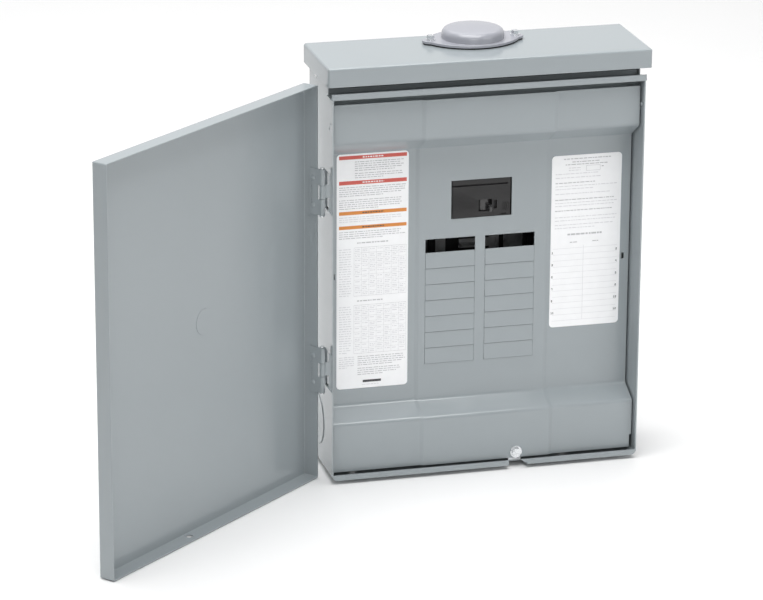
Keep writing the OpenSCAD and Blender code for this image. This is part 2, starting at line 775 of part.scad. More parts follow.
// Rail that the outer ends of the breakers clip on, with one hook a pole
module breaker_rail() {
    body_depth = 92;
    block(rail_x, [body_depth, pan_depth], [opening_low - 4, first_space_z + pole_pitch + 4]);
    for (z = pole_z) {
        block([rail_x[0] + 3, rail_x[0] + 6], [hook_depth, body_depth + 0.01], [z - 6, z + 6]);
        block([rail_x[0], rail_x[0] + 3.01], [hook_depth, hook_depth + 3], [z - 6, z + 6]);
    }
}

module breaker_rail_left() color(charcoal) lift() mirror([1, 0, 0]) breaker_rail();
module breaker_rail_right() color(charcoal) lift() breaker_rail();

// Main breaker ---------------------------------------------------------------

module main_breaker_base() color(charcoal) lift() difference() {
    w = case_wall;
    union() {
        block(case_x, [case_depth[1], case_depth[2]], case_z);
        // Feet that stand on the insulator, between the two bus bars
        for (x = [-32, 10]) bar_y(x, [case_depth[2] - 0.01, insulator_depth], (pole_a_z + pole_b_z) / 2, 3);
    }
    block([case_x[0] + w, case_x[1] - w], [case_depth[1] - over, case_depth[2] - w],
        [case_z[0] + w, case_z[1] - w]);
    // Slots for the terminals, and blind bearings for the contact shaft
    for (z = [pole_a_z, pole_b_z], x = [case_x[0] + w / 2, case_x[1] - w / 2])
        block([x - w / 2 - over, x + w / 2 + over], [strip_depth[0] - 0.2, strip_depth[1] + 0.2],
            [z - strip_h / 2 - 0.2, z + strip_h / 2 + 0.2]);
    bar_z(carrier_at[0], carrier_at[1], [case_z[0] + bearing_floor, case_z[1] - bearing_floor],
        journal_r + pin_clear);
}

// Raised face of the cover, seen from the front, with its steps and pockets
module main_breaker_cover() color(charcoal) lift() {
    gap = [1.2, 1.6, 0.5];
    peep = [[15.4, 19.4], [300.6, 310.4]];
    groove = [7.4, 5.4, 2.2];
    step_z = [308.2, 311.8];
    step_proud = 1.3;
    low_notch = [24, 31];
    rib = [26.6, 2.1, 1];
    rib_z = [298, 307];
    nose_x = [main_window[0] + gap[0], main_window[1] - gap[1]];
    nose_z = [main_window[2] + gap[2], main_window[3] - gap[2]];
    slot_x = [handle_at[0] - 7.8, handle_at[0] + 7.8];
    w = case_wall;
    difference() {
        union() {
            block(case_x, [case_depth[0], case_depth[1] - 0.05], case_z);
            block(nose_x, [face_depth, case_depth[0] + 0.01], nose_z);
            // The lower field left of the handle is proud, with a sloping top
            along_x([nose_x[0], slot_x[0] - 1.6]) polygon([[face_depth + 0.01, nose_z[0]],
                [face_depth - step_proud, nose_z[0]], [face_depth - step_proud, step_z[0]],
                [face_depth + 0.01, step_z[1]]]);
        }
        block([case_x[0] + w, case_x[1] - w], [case_depth[0] + w, case_depth[1] + over],
            [case_z[0] + w, case_z[1] - w]);
        // Groove under the top band
        block([nose_x[0] - over, nose_x[1] - 3], [face_depth - over, face_depth + groove[2]],
            [nose_z[1] - groove[0], nose_z[1] - groove[1]]);
        // Handle slot and the room for the rotor behind it
        block(slot_x, [face_depth - over, case_depth[0] + w + over], [handle_z[0] - 0.5, handle_z[1] + 0.5]);
        bar_z(handle_at[0], handle_at[1], [handle_z[0] - 0.5, handle_z[1] + 0.5], rotor_r + 0.5);
        // Small window right of the handle
        block(peep[0], [face_depth - over, face_depth + 3], peep[1]);
        // Notch at the lower right
        block(low_notch, [face_depth - over, face_depth + 1.5], [nose_z[0] + 0.8, nose_z[0] + 2.3]);
    }
    // Bearings for the handle's pivots, below and above the rotor
    difference() {
        for (z = [[case_z[0] + w, handle_z[0] - 0.5], [handle_z[1] + 0.5, handle_z[1] + 7]])
            block([handle_at[0] - 6, handle_at[0] + 6], [case_depth[0] + w, handle_at[1] + 6], z);
        bar_z(handle_at[0], handle_at[1], [handle_z[0] - pivot_len - 0.3, handle_z[1] + pivot_len + 0.3],
            pivot_r + pin_clear);
    }
    // Ribs at the right-hand end
    for (k = [0:3]) let (x = rib[0] + rib[1] * k)
        block([x, x + rib[2]], [face_depth - 0.7, face_depth + 0.01], rib_z);
}

module handle_swing()
    translate([handle_at[0], rim_y + handle_at[1], 0]) rotate(handle_tilt) children();

// Rotor with its lever; the lever points forward
module toggle_handle() color(charcoal) lift() handle_swing() {
    h = handle_z[1] - handle_z[0];
    lever = [2.9, 2.2];
    lever_h = 7.5;
    crown_r = 4.5;
    tip = 21;
    root = -rotor_r + 1.5;
    translate([0, 0, handle_z[0]]) cylinder(h, r = rotor_r, $fn = 72);
    // Lever, rounded at its tip and along its top
    translate([0, 0, handle_z[0] + 0.2]) intersection() {
        linear_extrude(lever_h) {
            polygon([[-lever[0], root], [-lever[1], -tip + lever[1]], [lever[1], -tip + lever[1]],
                [lever[0], root]]);
            translate([0, -tip + lever[1]]) circle(lever[1], $fn = 36);
        }
        translate([-lever[0] - over, 0, 0]) rotate([90, 0, 90]) linear_extrude(2 * (lever[0] + over)) {
            translate([-tip, -over]) square([tip + root + over, lever_h - crown_r + over]);
            translate([-tip + crown_r, -over]) square([tip - crown_r + root + over, lever_h + over]);
            translate([-tip + crown_r, lever_h - crown_r]) circle(crown_r);
        }
    }
    // Pivots that run in the cover's bearings
    translate([0, 0, handle_z[0] - pivot_len]) cylinder(h + 2 * pivot_len, r = pivot_r);
}

module carrier_place()
    translate([carrier_at[0], rim_y + carrier_at[1], 0]) rotate(carrier_swing) children();

arm_len = 26;
arm_t = 3;

// Moulded shaft that turns both contact arms
module contact_carrier() color([0.32, 0.26, 0.22]) lift() difference() {
    carrier_place() union() {
        shoulder = case_wall + 1;
        end = bearing_floor + 0.3;
        translate([0, 0, case_z[0] + shoulder]) cylinder(case_z[1] - case_z[0] - 2 * shoulder, r = carrier_r);
        translate([0, 0, case_z[0] + end]) cylinder(case_z[1] - case_z[0] - 2 * end, r = journal_r);
        for (z = [pole_a_z, pole_b_z]) translate([-9, -4.5, z - 4]) cube([9, 9, 8]);
    }
    carrier_place() for (z = [pole_a_z, pole_b_z])
        translate([-arm_len, -arm_t / 2, z - 2.5]) cube([arm_len + 1, arm_t, 5]);
}

module contact_arms() color(copper) lift() carrier_place() for (z = [pole_a_z, pole_b_z]) {
    translate([-arm_len, -arm_t / 2, z - 2.5]) cube([arm_len + 1, arm_t, 5]);
    translate([-arm_len + 3.5, arm_t / 2 + 1.2, z]) rotate([90, 0, 0]) cylinder(1.3, r = 2.2);
}

// A copper strip across, at the level of one pole
module strip(x, z) block(x, strip_depth, [z - strip_h / 2, z + strip_h / 2]);

module fixed_contacts() color(copper) lift() for (z = [pole_a_z, pole_b_z]) {
    strip([case_x[0] + case_wall, carrier_at[0] - 17], z);
    bar_y(carrier_at[0] - arm_len + 3.5, [strip_depth[0] - 2.7, strip_depth[0] + 0.01], z, 2.6);
    // Landing of the flexible braid, on the line side
    strip([2, case_x[1] - case_wall], z);
}

module arc_chutes() color(zinc) lift() for (z = [pole_a_z, pole_b_z], k = [0:4])
    block([case_x[0] + 3.2, case_x[0] + 9.4], [52 + k * 4, 53.2 + k * 4], [z - 7, z + 7]);

// Torsion spring that opens the contacts: a coil on the shaft with one leg
spring_turns = 4;
spring_wire_r = 0.6;
spring_r = carrier_r + 1.1;

module opening_spring() color(zinc) lift() {
    rings = spring_turns * 16;
    sides = 8;
    z0 = 311;
    rise = 1.6;
    points = [for (i = [0:rings], j = [0:sides - 1])
        let (a = 360 * i / 16, b = 360 * j / sides, r = spring_r + spring_wire_r * cos(b))
        [carrier_at[0] + r * cos(a), rim_y + carrier_at[1] + r * sin(a),
         z0 + rise * i / 16 + spring_wire_r * sin(b)]];
    walls = [for (i = [0:rings - 1], j = [0:sides - 1])
        [i * sides + j, (i + 1) * sides + j, (i + 1) * sides + (j + 1) % sides, i * sides + (j + 1) % sides]];
    ends = [[for (j = [0:sides - 1]) j], [for (j = [sides - 1:-1:0]) rings * sides + j]];
    polyhedron(points, concat(walls, ends));
}

// Strips that carry the current out of the case to the bus bars and the lugs
module load_terminals() color(copper) lift() for (z = [pole_a_z, pole_b_z]) {
    strip([load_x, case_x[0] + case_wall], z);
    block([load_x, load_x + 2], [strip_depth[1], bus_depth], [z - strip_h / 2, z + strip_h / 2]);
}

lug_x = [[73, 89], [54, 70]];
lug_z = [[290, 314], [314.5, 338.5]];
lug_bore_r = 5.5;
lug_depth = [60, 78];

module line_terminals() color(copper) lift() {
    strip([case_x[1] - case_wall, lug_x[0][1]], pole_a_z);
    strip([case_x[1] - case_wall, lug_x[1][1]], pole_b_z);
}

// A clamping lug for one conductor, open upward
module lug(x, z) difference() {
    along_z(z) rounded(x, lug_depth, 1.5);
    bar_z((x[0] + x[1]) / 2, lug_depth[1] - 7.5, [z[0] - over, z[1] + over], lug_bore_r);
    bar_y((x[0] + x[1]) / 2, [lug_depth[0] - over, lug_depth[1] - 8], (z[0] + z[1]) / 2, 3.5);
}

module line_lugs() color(alloy) lift() for (k = [0, 1]) lug(lug_x[k], lug_z[k]);

// A socket-head set screw, backed out so that the bore is clear
module set_screw(x, z) difference() {
    bar_y(x, [lug_depth[0] - 3, lug_depth[0] + 4.2], z, 3.4);
    translate([x, rim_y + lug_depth[0], z]) rotate([90, 0, 0]) cylinder(4, r = 2, $fn = 6);
}

module lug_screws() color(zinc) lift() for (k = [0, 1])
    set_screw((lug_x[k][0] + lug_x[k][1]) / 2, (lug_z[k][0] + lug_z[k][1]) / 2);

// Neutral and ground -------------------------------------------------------------

neutral_z = [112, 298];
neutral_w = 11;
neutral_depth = [78, 90];
wire_depth = 84.5;
terminal_pitch = 12;
terminals = 15;
wire_r = 2.6;

function terminal_z(k) = neutral_z[0] + 9 + k * terminal_pitch;

module neutral_bar(side) difference() {
    along_z(neutral_z) rounded([side * neutral_x - neutral_w / 2, side * neutral_x + neutral_w / 2],
        neutral_depth, 1);
    for (k = [0:terminals - 1]) {
        bar_x([side * neutral_x - neutral_w, side * neutral_x + neutral_w], wire_depth, terminal_z(k), wire_r);
        bar_y(side * neutral_x, [neutral_depth[0] - over, wire_depth], terminal_z(k), 2.1);
    }
}

module neutral_bar_left() color(alloy) lift() neutral_bar(-1);
module neutral_bar_right() color(alloy) lift() neutral_bar(1);

module terminal_screws() color(zinc) lift() for (side = [-1, 1], k = [0:terminals - 1])
    screw_y(side * neutral_x, neutral_depth[0] - 1.6, terminal_z(k), 3.4, 2, 5, 2);

module neutral_insulators() color(charcoal) lift() for (side = [-1, 1], z = [130, 205, 280])
    block([side * neutral_x - 8, side * neutral_x + 8], [neutral_depth[1], pan_depth], [z - 9, z + 9]);

tie_depth = [84, 87];
tie_z = [98, 108];
tie_half_w = 5;

module neutral_tie() color(alloy) lift() {
    block([-neutral_x - tie_half_w, neutral_x + tie_half_w], tie_depth, tie_z);
    for (side = [-1, 1])
        block([side * neutral_x - tie_half_w, side * neutral_x + tie_half_w], tie_depth,
            [tie_z[1] - 0.01, neutral_z[0]]);
}

neutral_lug_x = [-neutral_x - 8, -neutral_x + 8];
neutral_lug_z = [300, 324];

module neutral_lug() color(alloy) lift() {
    lug(neutral_lug_x, neutral_lug_z);
    block([-neutral_x - 5, -neutral_x + 5], [lug_depth[1] - 0.01, 82], neutral_lug_z);
    block([-neutral_x - 5, -neutral_x + 5], [79, 82], [neutral_z[1], neutral_lug_z[0] + 0.01]);
}

module neutral_lug_screw() color(zinc) lift()
    set_screw(-neutral_x, (neutral_lug_z[0] + neutral_lug_z[1]) / 2);

ground_x = [-66, 66];
ground_z = 80;
ground_depth = [90, pan_depth];
ground_terminals = 10;
ground_wire_depth = 96;

function ground_at(k) = ground_x[0] + 12 + k * 12;

module ground_bar() color(alloy) lift() difference() {
    along_x(ground_x) rounded(ground_depth, [ground_z - 5, ground_z + 5], 1);
    for (k = [0:ground_terminals - 1]) {
        bar_z(ground_at(k), ground_wire_depth, [ground_z - 6, ground_z + 6], 2.4);
        bar_y(ground_at(k), [ground_depth[0] - over, ground_wire_depth], ground_z, 2.1);
    }
}

module ground_screws() color(zinc) lift() for (k = [0:ground_terminals - 1])
    screw_y(ground_at(k), ground_depth[0] - 1.6, ground_z, 3.4, 2, 4.6, 2);

// Strap that bonds the neutral to the pan, and the screw that holds it
strap_x = [-104, -96];
strap_t = 1.5;
strap_low_z = 84;
bond_screw_at = [(strap_x[0] + strap_x[1]) / 2, 90];

module bonding_strap() color(copper) lift() difference() {
    union() {
        block(strap_x, [tie_depth[1], tie_depth[1] + strap_t], tie_z);
        block(strap_x, [tie_depth[1] + strap_t - 0.01, pan_depth], [tie_z[0], tie_z[0] + strap_t]);
        block(strap_x, [pan_depth - strap_t, pan_depth], [strap_low_z, tie_z[0] + 0.01]);
    }
    bar_y(bond_screw_at[0], [pan_depth - 3, pan_depth + over], bond_screw_at[1], 2.1);
}

module bonding_screw() color([0.25, 0.55, 0.35]) lift()
    screw_y(bond_screw_at[0], pan_depth - strap_t, bond_screw_at[1], 3.4, 2, strap_t - 0.02);

enclosure_box();
drip_hood();
hood_brackets();
hood_screws();
top_rail();
hub_gasket();
hub_plate();
hub_screws();
knockouts();
cover_screw_bracket();
cover_screw();
side_brackets();
deadfront();
twistout_plates();
rating_label();
directory_label();
door_panel();
door_leaf_upper();
door_leaf_lower();
door_rivets();
box_leaf_upper();
box_leaf_lower();
box_rivets();
hinge_pin_upper();
hinge_pin_lower();
mounting_pan();
pan_screws();
bus_insulator();
bus_bar_a();
bus_bar_b();
bus_screws();
breaker_rail_left();
breaker_rail_right();
main_breaker_base();
main_breaker_cover();
toggle_handle();
contact_carrier();
contact_arms();
fixed_contacts();
arc_chutes();
opening_spring();
load_terminals();
line_terminals();
line_lugs();
lug_screws();
neutral_bar_left();
neutral_bar_right();
neutral_insulators();
neutral_tie();
terminal_screws();
neutral_lug();
neutral_lug_screw();
ground_bar();
ground_screws();
bonding_strap();
bonding_screw();
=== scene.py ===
"""Looks of a hooded outdoor load center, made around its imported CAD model."""

import json
import math
import random

import bmesh
import bpy
from mathutils import Matrix, Vector


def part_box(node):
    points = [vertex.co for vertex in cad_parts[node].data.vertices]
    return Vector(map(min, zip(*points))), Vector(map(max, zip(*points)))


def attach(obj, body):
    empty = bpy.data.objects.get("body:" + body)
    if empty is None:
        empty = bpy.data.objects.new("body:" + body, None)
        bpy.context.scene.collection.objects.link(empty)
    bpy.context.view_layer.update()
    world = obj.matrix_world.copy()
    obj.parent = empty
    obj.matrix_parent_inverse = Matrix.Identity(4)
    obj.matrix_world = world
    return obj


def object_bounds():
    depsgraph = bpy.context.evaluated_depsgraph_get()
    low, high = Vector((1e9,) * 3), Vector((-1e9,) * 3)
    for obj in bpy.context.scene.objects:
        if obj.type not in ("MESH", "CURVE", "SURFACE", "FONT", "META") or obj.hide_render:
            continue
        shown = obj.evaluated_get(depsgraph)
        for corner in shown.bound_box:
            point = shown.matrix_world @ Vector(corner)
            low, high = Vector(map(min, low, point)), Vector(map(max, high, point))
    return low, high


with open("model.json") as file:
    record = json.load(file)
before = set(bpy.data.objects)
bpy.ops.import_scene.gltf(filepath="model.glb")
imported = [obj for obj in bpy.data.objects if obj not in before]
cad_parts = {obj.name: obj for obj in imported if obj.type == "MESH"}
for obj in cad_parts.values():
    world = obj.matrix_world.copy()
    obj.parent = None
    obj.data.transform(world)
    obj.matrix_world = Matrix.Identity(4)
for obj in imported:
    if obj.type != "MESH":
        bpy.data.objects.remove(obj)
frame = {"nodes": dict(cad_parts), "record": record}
cad_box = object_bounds()
NODES = frame["nodes"]
SLOT_OF = {row["node"]: row["material_slot"] for row in frame["record"]["subparts"]}
MM = 0.001

# Materials ---------------------------------------------------------------


class Shader:
    """Builds one node material, with places taken from the object's own coordinates."""

    def __init__(self, name):
        self.material = bpy.data.materials.new(name)
        self.material.use_nodes = True
        self.tree = self.material.node_tree
        self.bsdf = self.tree.nodes["Principled BSDF"]
        self.place = self.add("ShaderNodeTexCoord").outputs["Object"]

    def add(self, kind, **values):
        node = self.tree.nodes.new(kind)
        for key, value in values.items():
            setattr(node, key, value)
        return node

    def link(self, source, target):
        self.tree.links.new(source, target)

    def set(self, **values):
        for key, value in values.items():
            self.bsdf.inputs[key.replace("_", " ")].default_value = value

    def stretched(self, scale):
        """The object's coordinates, scaled along each axis."""
        mapping = self.add("ShaderNodeMapping")
        mapping.inputs["Scale"].default_value = scale
        self.link(self.place, mapping.inputs["Vector"])
        return mapping.outputs["Vector"]

    def along(self, axis):
        """Position along one axis of the shared frame."""
        parts = self.add("ShaderNodeSeparateXYZ")
        self.link(self.place, parts.inputs["Vector"])
        return parts.outputs[axis]

    def noise(self, scale, detail=3.0, rough=0.5, place=None):
        node = self.add("ShaderNodeTexNoise")
        node.inputs["Scale"].default_value = scale
        node.inputs["Detail"].default_value = detail
        node.inputs["Roughness"].default_value = rough
        self.link(place or self.place, node.inputs["Vector"])
        return node.outputs["Fac"]

    def cells(self, scale):
        """Voronoi cells; the outputs are "Distance" and "Color"."""
        node = self.add("ShaderNodeTexVoronoi")
        node.inputs["Scale"].default_value = scale
        self.link(self.place, node.inputs["Vector"])
        return node.outputs

    def ranged(self, value, low, high, to_low=0.0, to_high=1.0):
        node = self.add("ShaderNodeMapRange")
        for key, number in (("From Min", low), ("From Max", high), ("To Min", to_low), ("To Max", to_high)):
            node.inputs[key].default_value = number
        self.link(value, node.inputs["Value"])
        return node.outputs["Result"]

    def maths(self, operation, a, b):
        node = self.add("ShaderNodeMath", operation=operation)
        for socket, value in zip(node.inputs, (a, b)):
            if isinstance(value, (int, float)):
                socket.default_value = value
            else:
                self.link(value, socket)
        return node.outputs["Value"]

    def mixed(self, share, first, second):
        """One colour mixed into another; either may be a colour or a socket."""
        node = self.add("ShaderNodeMix", data_type="RGBA")
        self.link(share, node.inputs["Factor"])
        for socket, value in ((node.inputs[6], first), (node.inputs[7], second)):
            if isinstance(value, tuple):
                socket.default_value = (*value, 1)
            else:
                self.link(value, socket)
        return node.outputs[2]

    def bump(self, height, distance, strength=1.0, under=None):
        node = self.add("ShaderNodeBump")
        node.inputs["Distance"].default_value = distance
        node.inputs["Strength"].default_value = strength
        self.link(height, node.inputs["Height"])
        if under is not None:
            self.link(under, node.inputs["Normal"])
        return node.outputs["Normal"]

    def colour(self, socket):
        self.link(socket, self.bsdf.inputs["Base Color"])

    def roughness(self, socket):
        self.link(socket, self.bsdf.inputs["Roughness"])

    def normal(self, socket):
        self.link(socket, self.bsdf.inputs["Normal"])

    def gleam(self, socket):
        self.link(socket, self.bsdf.inputs["Specular IOR Level"])


def shade(colour, factor):
    return tuple(channel * factor for channel in colour)


# Specular level of the paint, and the specular level and colour factor of the painted shade deep in the gutter
PAINT_GLEAM, GUTTER_SHADE_GLEAM, GUTTER_SHADE_FACTOR = 0.68, 0.1, 0.05


def powder_coat(name, colour, gloss=0.15, dark=None, above=None):
    """Baked polyester paint: soft orange peel, faint clouding and a few dust specks; "dark" is a span of depth
    and "above" a span of height over which it darkens, as painted shade, to near black in the gutter's hollow
    under the hood, with less gleam."""
    s = Shader(name)
    cloud = s.ranged(s.noise(4, 3, 0.5), 0.3, 0.7)
    base = s.mixed(cloud, shade(colour, 0.985), shade(colour, 1.012))
    specks = s.ranged(s.cells(700)["Distance"], 0.04, 0.075, 1, 0)
    sparse = s.maths("MULTIPLY", specks, s.ranged(s.noise(90, 1), 0.68, 0.74))
    coat = s.mixed(s.maths("MULTIPLY", sparse, 0.3), base, shade(colour, 1.15))
    if dark is not None:
        # Painted shade: near black deep behind the lip and high up under the hood
        gutter_shade = s.maths("MULTIPLY", s.ranged(s.along("Y"), *dark), s.ranged(s.along("Z"), *above))
        coat = s.mixed(gutter_shade, coat, shade(colour, GUTTER_SHADE_FACTOR))
        s.gleam(s.ranged(gutter_shade, 0, 1, PAINT_GLEAM, GUTTER_SHADE_GLEAM))
    s.colour(coat)
    s.roughness(s.ranged(s.noise(9, 4, 0.6), 0.3, 0.7, gloss - 0.02, gloss + 0.04))
    peel = s.bump(s.noise(430, 2, 0.4), 0.00004, 0.3)
    s.normal(s.bump(s.noise(30, 1), 0.0004, 0.08, peel))
    s.set(IOR=1.5)
    if dark is None:
        s.set(Specular_IOR_Level=PAINT_GLEAM)
    return s.material


def plated(name, colour, rough, metallic=1.0):
    """Zinc or tin plate on steel, with a faint drawn grain and dull patches."""
    s = Shader(name)
    patch = s.ranged(s.noise(55, 4, 0.6), 0.35, 0.7)
    s.colour(s.mixed(patch, shade(colour, 0.82), colour))
    s.roughness(s.ranged(s.noise(90, 3), 0.3, 0.7, rough - 0.06, rough + 0.12))
    grain = s.noise(1, 2, 0.5, s.stretched((60, 60, 900)))
    s.normal(s.bump(grain, 0.00003, 0.35))
    s.set(Metallic=metallic)
    return s.material


def galvanised(name, colour):
    """Hot-dip galvanised sheet with its spangle."""
    s = Shader(name)
    flake = s.add("ShaderNodeSeparateColor")
    s.link(s.cells(90)["Color"], flake.inputs["Color"])
    s.colour(s.mixed(flake.outputs[0], shade(colour, 0.78), shade(colour, 1.05)))
    s.roughness(s.ranged(flake.outputs[1], 0, 1, 0.3, 0.5))
    s.normal(s.bump(s.noise(350, 2), 0.00004, 0.3))
    s.set(Metallic=1.0)
    return s.material


# Specular level and colour factor of the painted shade deep in the plastic's recesses
RECESS_SHADE_GLEAM, RECESS_SHADE_FACTOR = 0.08, 0.15


def moulded(name, colour, rough=0.45, dark=None, gleam=0.35):
    """Moulded thermoset plastic with a fine spark-eroded texture and slight flow marks; "dark" is a span of
    depth over which it darkens, as painted shade, to near black in recesses, with less gleam."""
    s = Shader(name)
    flow = s.ranged(s.noise(1, 3, 0.5, s.stretched((30, 30, 110))), 0.3, 0.7)
    body = s.mixed(flow, shade(colour, 0.88), shade(colour, 1.12))
    if dark is not None:
        # Painted shade: darker the deeper the plastic lies behind the breaker's face
        recess_shade = s.ranged(s.along("Y"), *dark)
        body = s.mixed(recess_shade, body, shade(colour, RECESS_SHADE_FACTOR))
        s.gleam(s.ranged(recess_shade, 0, 1, gleam, RECESS_SHADE_GLEAM))
    s.colour(body)
    s.roughness(s.ranged(s.noise(220, 3), 0.3, 0.7, rough - 0.06, rough + 0.08))
    s.normal(s.bump(s.noise(900, 2, 0.6), 0.00006, 0.35))
    if dark is None:
        s.set(Specular_IOR_Level=gleam)
    return s.material


def sponge(name, colour):
    """Sponge rubber with open pores, coloured darker in their pits and lighter on their rims as painted shade.
    """
    s = Shader(name)
    pores = s.cells(1400)["Distance"]
    # Painted shade: darker where the bump sinks the pores, lighter on their rims
    s.colour(s.mixed(pores, shade(colour, 0.6), shade(colour, 1.5)))
    s.roughness(s.ranged(s.noise(200, 2), 0.3, 0.7, 0.75, 0.95))
    s.normal(s.bump(pores, 0.0002, 0.6))
    return s.material


def printed(name, colour, rough=0.36):
    """Polyester label film or the ink on it: slightly uneven, and a little wavy where it lies on paint."""
    s = Shader(name)
    uneven = s.ranged(s.noise(120, 3), 0.3, 0.7)
    s.colour(s.mixed(uneven, shade(colour, 0.97), colour))
    s.roughness(s.ranged(s.noise(60, 3), 0.3, 0.7, rough - 0.05, rough + 0.08))
    s.normal(s.bump(s.noise(35, 2), 0.0004, 0.12))
    return s.material


PAINT = (0.312, 0.346, 0.362)
FINISHES = {
    "box_paint": powder_coat("box_paint_finish", PAINT),
    "door_paint": powder_coat("door_paint_finish", PAINT),
    "hub_casting": powder_coat("hub_casting_finish", (0.325, 0.332, 0.368), 0.22),
    "zinc_steel": plated("zinc_steel_finish", (0.86, 0.88, 0.90), 0.22, metallic=0.8),
    "galvanised": galvanised("galvanised_finish", (0.60, 0.62, 0.64)),
    "alloy": plated("alloy_finish", (0.42, 0.425, 0.43), 0.45),
    "copper": plated("copper_finish", (0.74, 0.37, 0.20), 0.30),
    "black_plastic": moulded("black_plastic_finish", (0.009, 0.009, 0.0095), 0.55, gleam=0.2),
    # The breaker's charcoal plastic carries painted shade, near black deep in its slot and openings
    "charcoal_plastic": moulded("charcoal_plastic_finish", (0.025, 0.0245, 0.025), 0.34,
                                dark=(-0.0785, -0.0735)),
    "brown_plastic": moulded("brown_plastic_finish", (0.10, 0.055, 0.03)),
    "gasket_rubber": sponge("gasket_rubber_finish", (0.02, 0.02, 0.02)),
    "label_film": printed("label_film_finish", (0.93, 0.935, 0.945)),
    "green_screw": plated("green_screw_finish", (0.05, 0.30, 0.12), 0.35),
}
# Pieces whose finish differs a little from the rest of their slot
SPECIAL = {
    # The gutter's paint carries painted shade, near black deep under the hood
    "top_rail": powder_coat("gutter_painted_shade_finish", PAINT, dark=(-0.111, -0.095), above=(0.2275, 0.2283)),
    "toggle_handle": moulded("toggle_finish", (0.030, 0.0295, 0.030), 0.2, gleam=0.75),
}

# Edges of the CAD pieces ---------------------------------------------------

SOFT_ANGLE = math.radians(28)
WELD_DISTANCE = 0.000002


def edge_group():
    """Geometry nodes that weld a mesh's seams and mark its corners as sharp."""
    group = bpy.data.node_groups.new("weld_and_sharpen", "GeometryNodeTree")
    group.interface.new_socket("Geometry", in_out="INPUT", socket_type="NodeSocketGeometry")
    group.interface.new_socket("Geometry", in_out="OUTPUT", socket_type="NodeSocketGeometry")
    add, link = group.nodes.new, group.links.new
    start, end = add("NodeGroupInput"), add("NodeGroupOutput")
    weld = add("GeometryNodeMergeByDistance")
    weld.inputs["Distance"].default_value = WELD_DISTANCE
    smooth_faces = add("GeometryNodeSetShadeSmooth")
    smooth_edges = add("GeometryNodeSetShadeSmooth")
    smooth_edges.domain = "EDGE"
    angle = add("GeometryNodeInputMeshEdgeAngle")
    compare = add("FunctionNodeCompare")
    compare.operation = "LESS_EQUAL"
    compare.inputs[1].default_value = SOFT_ANGLE
    link(start.outputs[0], weld.inputs[0])
    link(weld.outputs[0], smooth_faces.inputs[0])
    link(smooth_faces.outputs[0], smooth_edges.inputs[0])
    link(angle.outputs["Unsigned Angle"], compare.inputs[0])
    link(compare.outputs[0], smooth_edges.inputs["Shade Smooth"])
    link(smooth_edges.outputs[0], end.inputs[0])
    return group


def ease_edges(obj, group, width):
    """Round the corners of a CAD piece a little, so that they catch the light."""
    custom = obj.data.attributes.get("custom_normal")
    if custom is not None:
        obj.data.attributes.remove(custom)
    obj.modifiers.new("weld", "NODES").node_group = group
    bevel = obj.modifiers.new("bevel", "BEVEL")
    bevel.width = width
    bevel.segments = 2
    bevel.limit_method = "ANGLE"
    bevel.angle_limit = SOFT_ANGLE
    bevel.harden_normals = True


# Width in millimetres of the rounded corners
EDGE_WIDTH = {"enclosure_box": 0.3, "drip_hood": 0.3, "door_panel": 0.3, "deadfront": 0.3, "hub_plate": 0.6}
SMALL_EDGE_WIDTH = 0.2
weld_group = edge_group()
for name, obj in NODES.items():
    obj.data.materials.clear()
    obj.data.materials.append(SPECIAL.get(name) or FINISHES[SLOT_OF[name]])
    ease_edges(obj, weld_group, EDGE_WIDTH.get(name, SMALL_EDGE_WIDTH) * MM)

# Artwork of the two labels ---------------------------------------------------

INKS = {
    "grey": printed("ink_grey_finish", (0.50, 0.50, 0.515)),
    "pale": printed("ink_pale_finish", (0.68, 0.68, 0.70)),
    "white": printed("ink_white_finish", (0.92, 0.90, 0.89)),
    "dark": printed("ink_dark_finish", (0.045, 0.045, 0.05)),
    "red": printed("ink_red_finish", (0.62, 0.105, 0.08)),
    "orange": printed("ink_orange_finish", (0.70, 0.255, 0.045)),
}
DIGITS = {
    "0": "111101101101111", "1": "010110010010111", "2": "111001111100111", "3": "111001111001111",
    "4": "101101111001001", "5": "111100111001111", "6": "111100111101111", "7": "111001001001001",
    "8": "111101111101111", "9": "111101111001111",
}


# In metres: thickness of the ink, and how far its middle stands in front of the film
INK_THICKNESS, INK_OFFSET = 0.00006, 0.00001


